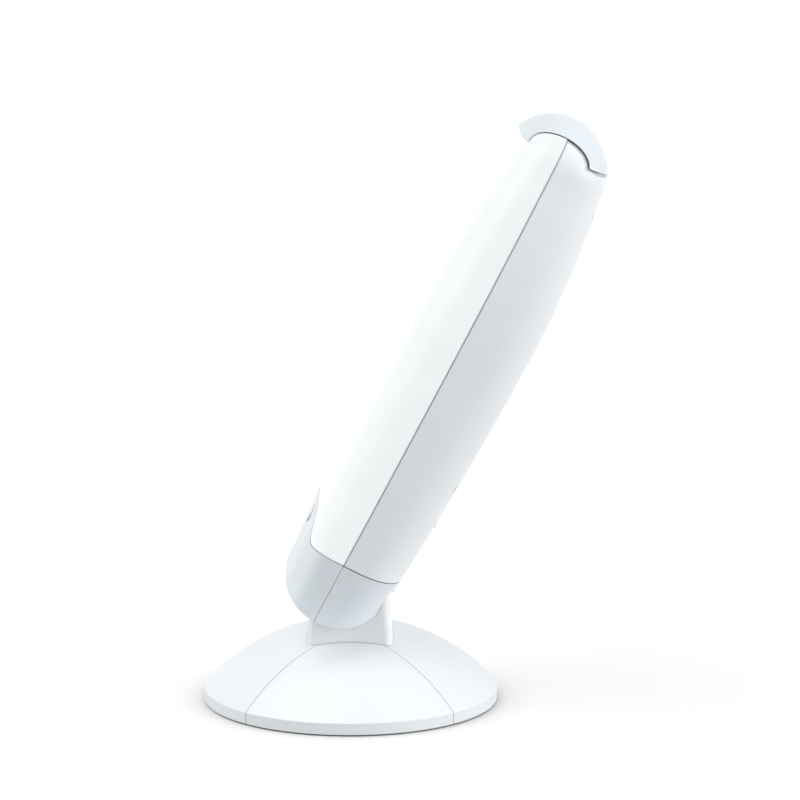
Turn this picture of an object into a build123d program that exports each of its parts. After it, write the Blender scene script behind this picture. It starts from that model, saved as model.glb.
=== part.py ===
from build123d import *
import math
import os

# Light therapy lamp: a long luminous head that tilts on a round weighted foot.
# Millimetres. The foot stands on z = 0 with its centre on the z axis, the light faces -X,
# the head leans back towards +X, and the tilt hinge runs along Y at the top of the neck.
# The head is drawn upright about its hinge and then leant back.

# ---- foot -------------------------------------------------------------------------------
FOOT_RADIUS = 115.0
DOME_APEX_Z = 61.9          # where the dome's sphere would close under the neck
SKIRT_TOP_Z = 10.2
SKIRT_ROUND = 1.4
FOOT_WALL = 2.6
RIM_Z = 1.2
FOOT_SEAM = 0.5             # gap between the bridge and a side cover
COVER_START = 26.3          # half length of a cover's seam along the neck
COVER_SPREAD = 0.74         # width gained by a cover's seam per mm away from the neck
LEDGE_WIDTH = 5.0           # lap of the bridge under a side cover
LEDGE_WALL = 1.8

# ---- neck and knuckle -------------------------------------------------------------------
PIVOT_Z = 114.5
NECK_HALF_WIDTH = 43.5
NECK_HALF_DEPTH = 33.9      # at its root, inside the dome
NECK_ROOT_Z = 45.0
NECK_ROUND = 6.0
NECK_WALL = 3.2
KNUCKLE_RADIUS = 28.0
KNUCKLE_TUBE_RADIUS = 11.0

# ---- underside --------------------------------------------------------------------------
PLATE_Z = 1.6
PLATE_THICKNESS = 2.0
PLATE_GAP = 0.4
POST_RADIUS = 4.2
POST_RING = FOOT_RADIUS - 12.0
BRIDGE_POST_ANGLE = 23.0    # from the X axis
COVER_POST_ANGLE = 20.0     # from the Y axis
SCREW_RADIUS = 1.5
SCREW_HEAD_RADIUS = 3.0
SCREW_BITE = 8.0
FOOT_RING_OUTER = FOOT_RADIUS - 19.0
FOOT_RING_INNER = FOOT_RADIUS - 29.0
FOOT_RING_SEAT = 0.8        # depth of the rubber ring's seat in the plate
FOOT_RING_CHAMFER = 0.4
WEIGHT_RADIUS = FOOT_RADIUS - 23.0
WEIGHT_BORE = 20.0
WEIGHT_THICKNESS = 10.0
WEIGHT_SCREW_RING = 60.0
WEIGHT_SCREW_COUNT = 3

# ---- head form --------------------------------------------------------------------------
REST_LEAN = 27.5            # degrees from upright
LEAN_MIN = -10.0
LEAN_MAX = 30.0
FRONT_SQUARENESS = 4.1      # exponents of the rounded cross-section at the lower end; 2 is an ellipse
BACK_SQUARENESS = 2.3
TOP_SQUARENESS = 3.0        # and at the top cap
END_RADIUS = 53.0           # round lower end, turned about a line along Y
END_CENTRE_X = -6.5
END_CENTRE = 9.8            # height of that line above the hinge
LOW_HEIGHT = -11.0          # below this height the cross-section stays the same
WIDEST_HEIGHT = 215.0
TOP_CENTRE = 340.8          # height of the top cap's round centre
HALF_DEPTH_LOW = 41.5
HALF_DEPTH_MID = 49.6
HALF_DEPTH_TOP = 37.2       # at the top cap's lip
TOP_LEAD = 1.5              # how far the cross-section's middle moves forward up to the lip
HALF_WIDTH_LOW = 75.0
HALF_WIDTH_MID = 87.0
HALF_WIDTH_TOP = 73.0
LOWER_FULLNESS = 2.0        # exponents of the side outline's swell, below and above its widest
UPPER_FULLNESS = 1.8
SECTION_STEPS = 12          # spline points on half a cross-section
LOFT_STEPS = 14
LOFT_GRADING = 1.9          # above 1 the cross-sections lie closer together towards the top
SHELL_WALL = 2.5

# ---- head seams -------------------------------------------------------------------------
PARTING_X = -8.3            # plane between the front and back shells
SEAL_THICKNESS = 1.2
SEAL_INSET = 0.35
END_SEAM_Z = 5.9            # plane between the end cap and the shells
END_SEAM_GAP = 0.7
ARCH_HEIGHT = 26.0          # rise of the end cap's front above that plane
ARCH_HALF_WIDTH = 68.0
ARCH_SHOULDER = (48.0, 0.62)    # half width of the arch's shoulder and its share of the height
CAP_HALF_GAP = 0.3
SPIGOT_WALL = 1.6
SPIGOT_LAP = 6.0
SPIGOT_CLEARANCE = 0.3
LINK_HEIGHT = 3.0           # of the band that joins a cap to its spigot
CAP_LIP_Z = 357.5           # top cap's lower edge at the front
CAP_BACK_STEP = 4.2         # how much higher that edge lies at the back
CAP_ARCH_RISE = 16.1        # how far it rises at the sides, over the parting plane
CAP_ARCH_HALF = 25.0        # half length of that arch
CAP_OVERHANG = 1.0
CAP_FRONT_GAP = 0.9
CAP_BACK_GAP = 2.6

# ---- vents ------------------------------------------------------------------------------
VENT_PITCH = 7.35
VENT_HEIGHT = 3.0
VENT_HALF_LENGTH = 32.0
VENT_LOWER_Z = 173.5
VENT_LOWER_COUNT = 11
VENT_UPPER_Z = 278.0
VENT_UPPER_COUNT = 5

# ---- hinge ------------------------------------------------------------------------------
SLOT_CLEARANCE = 1.5        # between the neck and the end cap's slot, fore and aft
CHEEK_CLEARANCE = 1.2       # between the neck's sides and the cheeks
CHEEK_WALL = 2.2
HOOD_WALL = 2.0
PIN_RADIUS = 5.0
PIN_CLEARANCE = 0.05
BUSH_WALL = 2.0
BUSH_LENGTH = 12.0
WASHER_RADIUS = 18.0
WASHER_PLAY = 0.05
YOKE_STEEL = 2.5
YOKE_EAR_RADIUS = 14.0
YOKE_WEB_TOP = 76.0
YOKE_RIB = 4.0              # depth of the stiffening rib on each arm
SPRING_RADIUS = 10.0
SPRING_THICKNESS = 2.0
NUT_FLATS = 14.0
NUT_THICKNESS = 5.0
PIN_END = 1.2               # pin showing past a nut

# ---- light source -----------------------------------------------------------------------
CHASSIS_X = 1.0             # front face of the chassis plate
CHASSIS_THICKNESS = 1.2
CHASSIS_BOTTOM = 42.0
CHASSIS_TOP = 342.0
CHASSIS_MARGIN = 1.2
TUBE_X = -16.0
TUBE_RADIUS = 8.75
TUBE_PITCH = 23.0           # between the two legs of one lamp
LAMP_OFFSET = 29.0          # a lamp's centre from the middle
TUBE_BASE_LENGTH = 23.0
TUBE_BASE_HALF_WIDTH = 20.0
TUBE_BASE_HALF_DEPTH = 10.0
TUBE_GLASS_LENGTH = 272.0
TUBE_BRIDGE_RADIUS = 5.0
TUBE_BRIDGE_DROP = 14.0
HOLDER_BOTTOM = 38.0
HOLDER_HEIGHT = 16.0
HOLDER_HALF_WIDTH = 19.5
HOLDER_FRONT = -28.5
REFLECTOR_SHEET = 0.6
REFLECTOR_HALF_WIDTH = 64.0
REFLECTOR_RIDGE_X = -8.0
REFLECTOR_WING_X = -12.0
REFLECTOR_BOTTOM = 80.0
REFLECTOR_TOP = 338.0
CLIP_Z = 290.0
CLIP_HEIGHT = 8.0
CLIP_WALL = 1.2
CLIP_CLEARANCE = 0.2
CLIP_OPENING = 110.0        # degrees left open at the front of each clip

# ---- supply -----------------------------------------------------------------------------
BALLAST_HALF_WIDTH = 20.0
BALLAST_DEPTH = 22.0
BALLAST_BOTTOM = 105.0
BALLAST_LENGTH = 210.0
INLET_Z = 64.0
INLET_FLANGE = (1.6, 30.0, 22.0)
INLET_BODY = (16.0, 26.0, 18.0)
INLET_RECESS_WIDTH = 16.6
INLET_RECESS_HEIGHT = 9.4
INLET_RECESS_DEPTH = 10.5
INLET_PIN_RADIUS = 1.2
INLET_PIN_OFFSET = 4.3
INLET_PIN_LENGTH = 8.0
FIT_GAP = 0.2

# ---- power button -----------------------------------------------------------------------
BUTTON_Z = 16.5
BUTTON_RADIUS = 7.5
BUTTON_GAP = 0.25
BUTTON_PROUD = 1.0
BUTTON_FLANGE = 1.6
BUTTON_FLANGE_THICKNESS = 1.0
BUTTON_TRAVEL = 2.0
STEM_RADIUS = 2.2
SWITCH_SIZE = (4.6, 12.0, 9.0)

# ---- case screws ------------------------------------------------------------------------
CASE_POST_RADIUS = 5.2
CASE_BORE_RADIUS = 3.6
CASE_SHOULDER = 6.0         # plastic left under a screw head
CASE_HEAD_THICKNESS = 2.4
CASE_SCREWS = ((45.0, 92.0), (42.0, 326.0))   # (distance from the middle, height)

HEAD = Location((0, 0, PIVOT_Z)) * Rotation(0, REST_LEAN, 0)
DOME_RISE = DOME_APEX_Z - SKIRT_TOP_Z
DOME_RADIUS = (FOOT_RADIUS ** 2 + DOME_RISE ** 2) / (2 * DOME_RISE)
DOME_CENTRE_Z = DOME_APEX_Z - DOME_RADIUS
PLATE_TOP_Z = PLATE_Z + PLATE_THICKNESS
SAME = 0.01                 # distance within which two places are the same
LIP_RISE = CAP_LIP_Z - TOP_CENTRE
CAP_RADIUS = math.hypot(HALF_DEPTH_TOP + CAP_OVERHANG, LIP_RISE)
LIP_SHARE = (1 - (LIP_RISE / CAP_RADIUS) ** TOP_SQUARENESS) ** (1 / TOP_SQUARENESS)
CAP_HALF_WIDTH = (HALF_WIDTH_TOP + CAP_OVERHANG) / LIP_SHARE
END_BOTTOM = END_CENTRE - END_RADIUS
FORM_TOP = CAP_LIP_Z + CAP_ARCH_RISE + LINK_HEIGHT + 1


# ---- helpers ----------------------------------------------------------------------------
def along_y(radius, start, end, x=0.0, z=0.0):
    """Round bar along Y between two places."""
    return Pos(x, (start + end) / 2, z) * Rotation(90, 0, 0) * Cylinder(radius, abs(end - start))


def along_x(radius, start, end, y=0.0, z=0.0):
    """Round bar along X between two places."""
    return Pos((start + end) / 2, y, z) * Rotation(0, 90, 0) * Cylinder(radius, abs(end - start))


def upright(radius, bottom, top, x=0.0, y=0.0):
    """Round bar along Z between two heights."""
    return Pos(x, y, (bottom + top) / 2) * Cylinder(radius, top - bottom)


def block(low, high):
    """Box between two corners."""
    size = [b - a for a, b in zip(low, high)]
    middle = [(a + b) / 2 for a, b in zip(low, high)]
    return Pos(*middle) * Box(*size)


def side_prism(sketch, half_width):
    """Sketch of x and z extruded both ways along Y."""
    return extrude(Plane.XZ * sketch, amount=half_width, both=True)


def both_sides(make):
    """The far and the near copy of a piece, which make(1) and make(-1) return."""
    return Compound(children=[solid for side in (1, -1) for solid in make(side).solids()])


def ring_places(ring, angles):
    """Points on a circle of the foot, from angles in degrees."""
    return [(ring * math.cos(math.radians(a)), ring * math.sin(math.radians(a))) for a in angles]


# ---- foot -------------------------------------------------------------------------------
def dome_solid(inset, bottom):
    """The foot's outside moved inwards by inset, filled down to bottom."""
    edge_radius = FOOT_RADIUS - inset
    sphere = DOME_RADIUS - inset
    edge_z = DOME_CENTRE_Z + math.sqrt(sphere ** 2 - edge_radius ** 2)
    half_angle = math.asin(edge_radius / sphere) / 2
    middle = (sphere * math.sin(half_angle), DOME_CENTRE_Z + sphere * math.cos(half_angle))
    apex = (0, DOME_CENTRE_Z + sphere)
    outline = Polyline(apex, (0, bottom), (edge_radius, bottom), (edge_radius, edge_z))
    outline += ThreePointArc((edge_radius, edge_z), middle, apex)
    solid = revolve(Plane.XZ * make_face(outline), Axis.Z)
    if inset:
        return solid
    rim = [e for e in solid.edges().filter_by(GeomType.CIRCLE) if abs(e.center().Z - edge_z) < SAME]
    return fillet(rim, SKIRT_ROUND)


def cover_plan(side, gap):
    """Prism over one side cover's plan; gap moves its seams away from the bridge."""
    start_x = COVER_START
    start_y = NECK_HALF_WIDTH + gap
    reach = FOOT_RADIUS * 1.2
    end_x = start_x + (reach - start_y) / COVER_SPREAD
    plan = Polyline((start_x, start_y), (end_x, reach), (-end_x, reach), (-start_x, start_y), close=True)
    prism = extrude(make_face(plan), amount=DOME_APEX_Z + RIM_Z)
    return prism if side > 0 else mirror(prism, Plane.XZ)


def neck_profile(grow):
    """Side outline of the neck and its round knuckle, grown outwards."""
    knuckle = Pos(0, PIVOT_Z) * Circle(KNUCKLE_RADIUS + grow)
    half_depth = NECK_HALF_DEPTH + grow
    return make_hull(knuckle.edges() + Line((-half_depth, NECK_ROOT_Z), (half_depth, NECK_ROOT_Z)).edges())


def post_places():
    """Screw posts under the bridge and under the two covers, as two lists of points."""
    bridge_angles = [turn + sign * BRIDGE_POST_ANGLE for turn in (0, 180) for sign in (1, -1)]
    cover_angles = [turn + sign * COVER_POST_ANGLE for turn in (90, 270) for sign in (1, -1)]
    return ring_places(POST_RING, bridge_angles), ring_places(POST_RING, cover_angles)


def screw_posts(places, body):
    """Add a drilled post under each place, from the base plate up into the dome."""
    core = dome_solid(FOOT_WALL / 2, RIM_Z)
    for x, y in places:
        body += upright(POST_RADIUS, PLATE_TOP_Z, DOME_APEX_Z, x, y) & core
    for x, y in places:
        body -= upright(SCREW_RADIUS - 0.05, RIM_Z, PLATE_TOP_Z + SCREW_BITE, x, y)
    return body


def build_neck():
    """The neck with its hollow, its knuckle tube and the seats of the two bushes."""
    neck = side_prism(neck_profile(0), NECK_HALF_WIDTH)
    ends = [e for e in neck.edges() if abs(abs(e.center().Y) - NECK_HALF_WIDTH) < SAME]
    neck = fillet([e for e in ends if e.center().Z > NECK_ROOT_Z + SAME], NECK_ROUND)
    hollow = side_prism(neck_profile(-NECK_WALL), NECK_HALF_WIDTH - NECK_WALL)
    hollow += block((-NECK_HALF_DEPTH + NECK_WALL, -NECK_HALF_WIDTH + NECK_WALL, RIM_Z),
                    (NECK_HALF_DEPTH - NECK_WALL, NECK_HALF_WIDTH - NECK_WALL, NECK_ROOT_Z))
    tube = along_y(KNUCKLE_TUBE_RADIUS, -NECK_HALF_WIDTH, NECK_HALF_WIDTH, z=PIVOT_Z)
    bore = along_y(PIN_RADIUS + PIN_CLEARANCE + BUSH_WALL, -NECK_HALF_WIDTH, NECK_HALF_WIDTH, z=PIVOT_Z)
    return neck, hollow, tube, bore


def build_foot():
    """The foot's pieces, by node name."""
    shell = dome_solid(0, RIM_Z) - dome_solid(FOOT_WALL, RIM_Z - 1)
    neck, hollow, tube, bore = build_neck()
    bridge = shell
    for side in (1, -1):
        bridge -= cover_plan(side, -FOOT_SEAM / 2)
    bridge = (bridge + neck) - hollow + tube - bore
    bridge_posts, cover_posts = post_places()
    lining = dome_solid(FOOT_WALL, RIM_Z) - dome_solid(FOOT_WALL + LEDGE_WALL, RIM_Z - 1)
    for side in (1, -1):
        ledge = (lining & cover_plan(side, -1)) - cover_plan(side, LEDGE_WIDTH)
        bridge += ledge - block((-FOOT_RADIUS, -FOOT_RADIUS, 0), (FOOT_RADIUS, FOOT_RADIUS, PLATE_TOP_Z))
    bridge = screw_posts(bridge_posts, bridge)
    nodes = {"base_bridge": bridge}
    for name, side in (("far_side_cover", 1), ("near_side_cover", -1)):
        cover = shell & cover_plan(side, FOOT_SEAM / 2)
        nodes[name] = screw_posts([p for p in cover_posts if p[1] * side > 0], cover)

    plate = upright(FOOT_RADIUS - FOOT_WALL - PLATE_GAP, PLATE_Z, PLATE_TOP_Z)
    posts = bridge_posts + cover_posts
    step = 360 / WEIGHT_SCREW_COUNT
    weight_places = ring_places(WEIGHT_SCREW_RING, [step * i for i in range(WEIGHT_SCREW_COUNT)])
    head_depth = SCREW_HEAD_RADIUS - SCREW_RADIUS
    for x, y in posts + weight_places:
        plate -= upright(SCREW_RADIUS + FIT_GAP, PLATE_Z, PLATE_TOP_Z, x, y)
        plate -= Pos(x, y, PLATE_Z + head_depth / 2) * Cone(SCREW_HEAD_RADIUS, SCREW_RADIUS, head_depth)
    seat_top = PLATE_Z + FOOT_RING_SEAT
    seat = upright(FOOT_RING_OUTER + FIT_GAP, PLATE_Z, seat_top)
    seat -= upright(FOOT_RING_INNER - FIT_GAP, PLATE_Z, seat_top)
    plate -= seat
    nodes["base_plate"] = plate

    weight = upright(WEIGHT_RADIUS, PLATE_TOP_Z, PLATE_TOP_Z + WEIGHT_THICKNESS)
    weight -= upright(WEIGHT_BORE, PLATE_TOP_Z, PLATE_TOP_Z + WEIGHT_THICKNESS)
    for x, y in weight_places:
        weight -= upright(SCREW_RADIUS - 0.05 + 0.1, PLATE_TOP_Z, PLATE_TOP_Z + SCREW_BITE, x, y)
    rims = [e for e in weight.edges().filter_by(GeomType.CIRCLE) if e.radius > WEIGHT_BORE - 1]
    nodes["ballast_weight"] = chamfer([e for e in rims if e.center().Z > PLATE_TOP_Z + 1], 1.5)

    ring = upright(FOOT_RING_OUTER, 0, seat_top) - upright(FOOT_RING_INNER, 0, seat_top)
    nodes["rubber_foot_ring"] = chamfer(ring.edges().group_by(Axis.Z)[0], FOOT_RING_CHAMFER)
    nodes["base_screws"] = Compound(children=[foot_screw(x, y) for x, y in posts])
    nodes["weight_screws"] = Compound(children=[foot_screw(x, y) for x, y in weight_places])
    nodes["knuckle_bushes"] = both_sides(lambda side: along_y(
        PIN_RADIUS + PIN_CLEARANCE + BUSH_WALL, side * (NECK_HALF_WIDTH - BUSH_LENGTH),
        side * NECK_HALF_WIDTH, z=PIVOT_Z) - along_y(
        PIN_RADIUS + PIN_CLEARANCE, 0, side * (NECK_HALF_WIDTH + 1), z=PIVOT_Z))
    return nodes


def foot_screw(x, y):
    """Countersunk screw that enters the foot from below."""
    head_depth = SCREW_HEAD_RADIUS - SCREW_RADIUS
    shank = upright(SCREW_RADIUS - 0.05, PLATE_Z, PLATE_TOP_Z + SCREW_BITE - 0.5, x, y)
    head = Pos(x, y, PLATE_Z + head_depth / 2) * Cone(SCREW_HEAD_RADIUS, SCREW_RADIUS, head_depth)
    return shank + head


# ---- head form --------------------------------------------------------------------------
def swell(height, low, middle, top):
    """Half size of the head at a height, from its sizes at the low, widest and top places."""
    if height < WIDEST_HEIGHT:
        share = (WIDEST_HEIGHT - max(height, LOW_HEIGHT)) / (WIDEST_HEIGHT - LOW_HEIGHT)
        return middle - (middle - low) * share ** LOWER_FULLNESS
    share = (height - WIDEST_HEIGHT) / (CAP_LIP_Z - WIDEST_HEIGHT)
    return middle - (middle - top) * share ** UPPER_FULLNESS


def head_size(height):
    """Half depth and half width of the shells' outside at a height; above the lip they follow the cap."""
    if height > CAP_LIP_Z:
        rise = (height - TOP_CENTRE) / CAP_RADIUS
        width = CAP_HALF_WIDTH * (1 - rise ** TOP_SQUARENESS) ** (1 / TOP_SQUARENESS)
        return CAP_RADIUS * math.sqrt(1 - rise ** 2) - CAP_OVERHANG, width - CAP_OVERHANG
    depth = swell(height, HALF_DEPTH_LOW, HALF_DEPTH_MID, HALF_DEPTH_TOP)
    return depth, swell(height, HALF_WIDTH_LOW, HALF_WIDTH_MID, HALF_WIDTH_TOP)


def head_middle(height):
    """Place of the cross-section's middle along X: forward of the hinge towards the top."""
    share = (min(max(height, WIDEST_HEIGHT), CAP_LIP_Z) - WIDEST_HEIGHT) / (CAP_LIP_Z - WIDEST_HEIGHT)
    return -TOP_LEAD * share ** 2


def squareness(height, side):
    """Exponent of the cross-section's back (side 1) or front (side -1) half at a height."""
    low = BACK_SQUARENESS if side > 0 else FRONT_SQUARENESS
    share = (min(max(height, LOW_HEIGHT), CAP_LIP_Z) - LOW_HEIGHT) / (CAP_LIP_Z - LOW_HEIGHT)
    return low + (TOP_SQUARENESS - low) * share


def section_points(half_depth, half_width, height, side):
    """Points on the back (side 1) or front (side -1) half of a cross-section."""
    power = squareness(height, side)
    points = []
    for step in range(SECTION_STEPS + 1):
        angle = math.radians(-90 + 180 * step / SECTION_STEPS)
        cosine, sine = math.cos(angle), math.sin(angle)
        stretch = (abs(cosine) ** power + abs(sine) ** power) ** (-1 / power)
        points.append(Vector(side * half_depth * cosine * stretch, half_width * sine * stretch, height))
    return points


def half_section(half_depth, half_width, height, side):
    """Back or front half of a cross-section curve; all sections share the widest one's knots."""
    widest = section_points(HALF_DEPTH_MID, HALF_WIDTH_MID, WIDEST_HEIGHT, 1)
    knots = [0.0]
    for a, b in zip(widest, widest[1:]):
        knots.append(knots[-1] + (b - a).length)
    return Edge.make_spline(section_points(half_depth, half_width, height, side),
                            tangents=[(side, 0, 0), (-side, 0, 0)], parameters=knots, scale=False)


def head_form(inset):
    """The head from below its lower end up into the top cap's arch, moved inwards by inset."""
    shares = [1 - (1 - i / LOFT_STEPS) ** LOFT_GRADING for i in range(LOFT_STEPS + 1)]
    heights = [END_BOTTOM - 1] + [LOW_HEIGHT + (FORM_TOP - LOW_HEIGHT) * share for share in shares]
    wires = []
    for height in heights:
        depth, width = head_size(height)
        section = Wire([half_section(depth - inset, width - inset, height, side) for side in (1, -1)])
        wires.append(Pos(head_middle(height), 0, 0) * section)
    return Solid.make_loft(wires)


def end_room(inset):
    """Everything above the head's round lower end, moved inwards by inset."""
    reach = 2 * HALF_WIDTH_MID
    drum = along_y(END_RADIUS - inset, -reach, reach, x=END_CENTRE_X, z=END_CENTRE)
    return drum + block((-reach, -reach, END_CENTRE), (reach, reach, TOP_CENTRE))


def high_end(inset):
    """Round upper end of the top cap, moved inwards by inset: half a cross-section turned about Y."""
    half_width = CAP_HALF_WIDTH - inset
    curve = half_section(CAP_RADIUS - inset, half_width, TOP_CENTRE, -1)
    face = make_face(curve + Line((0, half_width, TOP_CENTRE), (0, -half_width, TOP_CENTRE)))
    end = revolve(face, Axis((0, 0, TOP_CENTRE), (0, 1, 0)), revolution_arc=180)
    return Pos(-TOP_LEAD, 0, 0) * end


def end_zone(grow):
    """Everything below the end cap's seam, with its arch at the front, grown upwards."""
    reach = 2 * HALF_WIDTH_MID
    floor = END_BOTTOM - HALF_DEPTH_LOW
    seam_z = END_SEAM_Z + grow
    half = ARCH_HALF_WIDTH + grow
    zone = block((-reach, -reach, floor), (reach, reach, seam_z))
    shoulder, share = ARCH_SHOULDER
    shoulder_z = seam_z + ARCH_HEIGHT * share
    curve = Spline((-half, seam_z), (-shoulder - grow, shoulder_z), (0, seam_z + ARCH_HEIGHT),
                   (shoulder + grow, shoulder_z), (half, seam_z), tangents=[(1, 0), (1, 0)])
    bell = make_face(curve + Polyline((half, seam_z), (half, floor), (-half, floor), (-half, seam_z)))
    return zone + extrude(Plane.YZ * bell, amount=-reach)


def cap_zone(drop):
    """Everything above the top cap's lower edge, with its arched sides, lowered by drop."""
    reach = 2 * HALF_WIDTH_MID
    roof = TOP_CENTRE + 2 * HALF_DEPTH_TOP
    lip = CAP_LIP_Z - drop
    arch = Pos(PARTING_X, lip) * Ellipse(CAP_ARCH_HALF - max(drop, 0), CAP_ARCH_RISE)
    back_step = block((PARTING_X, -reach, lip), (reach, reach, lip + CAP_BACK_STEP))
    return block((-reach, -reach, lip), (reach, reach, roof)) - side_prism(arch, reach) - back_step


def front_half(gap):
    """Half space in front of the parting plane, kept back by gap."""
    reach = 2 * HALF_WIDTH_MID
    roof = TOP_CENTRE + 2 * HALF_DEPTH_TOP
    return block((-reach, -reach, END_BOTTOM - reach), (PARTING_X - gap, reach, roof))


def back_half(gap):
    """Half space behind the parting plane, kept back by gap."""
    reach = 2 * HALF_WIDTH_MID
    roof = TOP_CENTRE + 2 * HALF_DEPTH_TOP
    return block((PARTING_X + gap, -reach, END_BOTTOM - reach), (reach, reach, roof))


def slot_cut(grow):
    """Room that the neck sweeps in the head between its limits, grown outwards."""
    knuckle = Circle(KNUCKLE_RADIUS + SLOT_CLEARANCE + grow)
    edges = knuckle.edges()
    for lean in (LEAN_MIN, LEAN_MAX):
        half_depth = NECK_HALF_DEPTH + SLOT_CLEARANCE + grow
        root = Line((-half_depth, NECK_ROOT_Z - PIVOT_Z), (half_depth, NECK_ROOT_Z - PIVOT_Z))
        edges += (Rotation(0, 0, lean) * root).edges()
    return side_prism(make_hull(edges), NECK_HALF_WIDTH + CHEEK_CLEARANCE + grow)


# ---- head shells ------------------------------------------------------------------------
def build_shells():
    """The shells, end cap halves, top cap and seam seal, upright, by node name."""
    outside, inside = head_form(0), head_form(SHELL_WALL)
    spigot_in = head_form(SHELL_WALL + SPIGOT_CLEARANCE + SPIGOT_WALL)
    spigot_skin = head_form(SHELL_WALL + SPIGOT_CLEARANCE) - spigot_in
    skin = outside - inside
    nodes = {}

    body = skin - end_zone(END_SEAM_GAP)
    half_seal = SEAL_THICKNESS / 2
    nodes["front_diffuser"] = (body & front_half(half_seal)) - cap_zone(CAP_FRONT_GAP)
    back = (body & back_half(half_seal)) - cap_zone(CAP_BACK_GAP)
    nodes["back_shell"] = finish_back(back, outside)

    seal_skin = head_form(SEAL_INSET) - head_form(SHELL_WALL)
    seal = seal_skin & block((PARTING_X - half_seal, -100, END_SEAM_Z), (PARTING_X + half_seal, 100, 400))
    nodes["seam_seal"] = seal - end_zone(END_SEAM_GAP) - cap_zone(CAP_BACK_GAP)

    spigot = spigot_skin & (end_zone(SPIGOT_LAP) - end_zone(0))
    spigot += (head_form(SHELL_WALL / 2) - spigot_in) & (end_zone(0) - end_zone(-LINK_HEIGHT))
    nodes["end_cap_front"], nodes["end_cap_back"] = build_end_cap(outside, inside, spigot)

    cap = (high_end(0) - high_end(SHELL_WALL)) & cap_zone(0)
    link = (high_end(SHELL_WALL / 2) - spigot_in) & (cap_zone(0) - cap_zone(-LINK_HEIGHT))
    spigot = spigot_skin & (cap_zone(SPIGOT_LAP) - cap_zone(0))
    nodes["top_cap"] = cap + link + spigot
    return nodes


def finish_back(back, outside):
    """Vents, inlet seat and screw posts of the back shell."""
    reach = 2 * HALF_DEPTH_MID
    rows = [VENT_LOWER_Z + VENT_PITCH * i for i in range(VENT_LOWER_COUNT)]
    rows += [VENT_UPPER_Z + VENT_PITCH * i for i in range(VENT_UPPER_COUNT)]
    slot = extrude(Plane.YZ * SlotOverall(2 * VENT_HALF_LENGTH, VENT_HEIGHT), amount=reach)
    for z in rows:
        back -= Pos(BALLAST_DEPTH, 0, z) * slot
    chassis_back = CHASSIS_X + CHASSIS_THICKNESS
    for distance, z in CASE_SCREWS:
        for side in (1, -1):
            post = along_x(CASE_POST_RADIUS, chassis_back, reach, side * distance, z) & outside
            back += post
            back -= along_x(CASE_BORE_RADIUS, chassis_back + CASE_SHOULDER, reach, side * distance, z)
            back -= along_x(SCREW_RADIUS + FIT_GAP, chassis_back - 1, reach, side * distance, z)
    seat_x = head_size(INLET_Z)[0] - INLET_FLANGE[0]
    _, wide, high = INLET_FLANGE
    back -= block((seat_x, -wide / 2 - FIT_GAP, INLET_Z - high / 2 - FIT_GAP),
                  (reach, wide / 2 + FIT_GAP, INLET_Z + high / 2 + FIT_GAP))
    _, wide, high = INLET_BODY
    back -= block((chassis_back, -wide / 2 - FIT_GAP, INLET_Z - high / 2 - FIT_GAP),
                  (reach, wide / 2 + FIT_GAP, INLET_Z + high / 2 + FIT_GAP))
    return back


def build_end_cap(outside, inside, spigot):
    """Front and back halves of the end cap: skin, cheeks, hood over the knuckle and spigot."""
    solid = outside & end_room(0)
    core = inside & end_room(SHELL_WALL)
    cap = (solid - core) & end_zone(0)
    cheek_in = NECK_HALF_WIDTH + CHEEK_CLEARANCE
    cheek_out = cheek_in + CHEEK_WALL
    hood_top = KNUCKLE_RADIUS + SLOT_CLEARANCE + HOOD_WALL
    low = END_BOTTOM - 1
    for side in (1, -1):
        near, far = sorted((side * cheek_in, side * cheek_out))
        plate = block((-HALF_DEPTH_MID, near, low), (HALF_DEPTH_MID, far, END_SEAM_Z))
        plate += along_y(hood_top, near, far)
        cap += plate & core
    hood = slot_cut(HOOD_WALL) & block((-HALF_DEPTH_MID, -cheek_out, low), (HALF_DEPTH_MID, cheek_out, hood_top))
    cap += hood & core
    cap += spigot
    cap -= slot_cut(0)
    cap -= along_y(PIN_RADIUS + FIT_GAP, -HALF_WIDTH_LOW + 10, HALF_WIDTH_LOW - 10)
    cap -= along_x(BUTTON_RADIUS + BUTTON_GAP, -HALF_DEPTH_MID, -KNUCKLE_RADIUS - 6, z=BUTTON_Z)
    return cap & front_half(CAP_HALF_GAP / 2), cap & back_half(CAP_HALF_GAP / 2)


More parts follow.
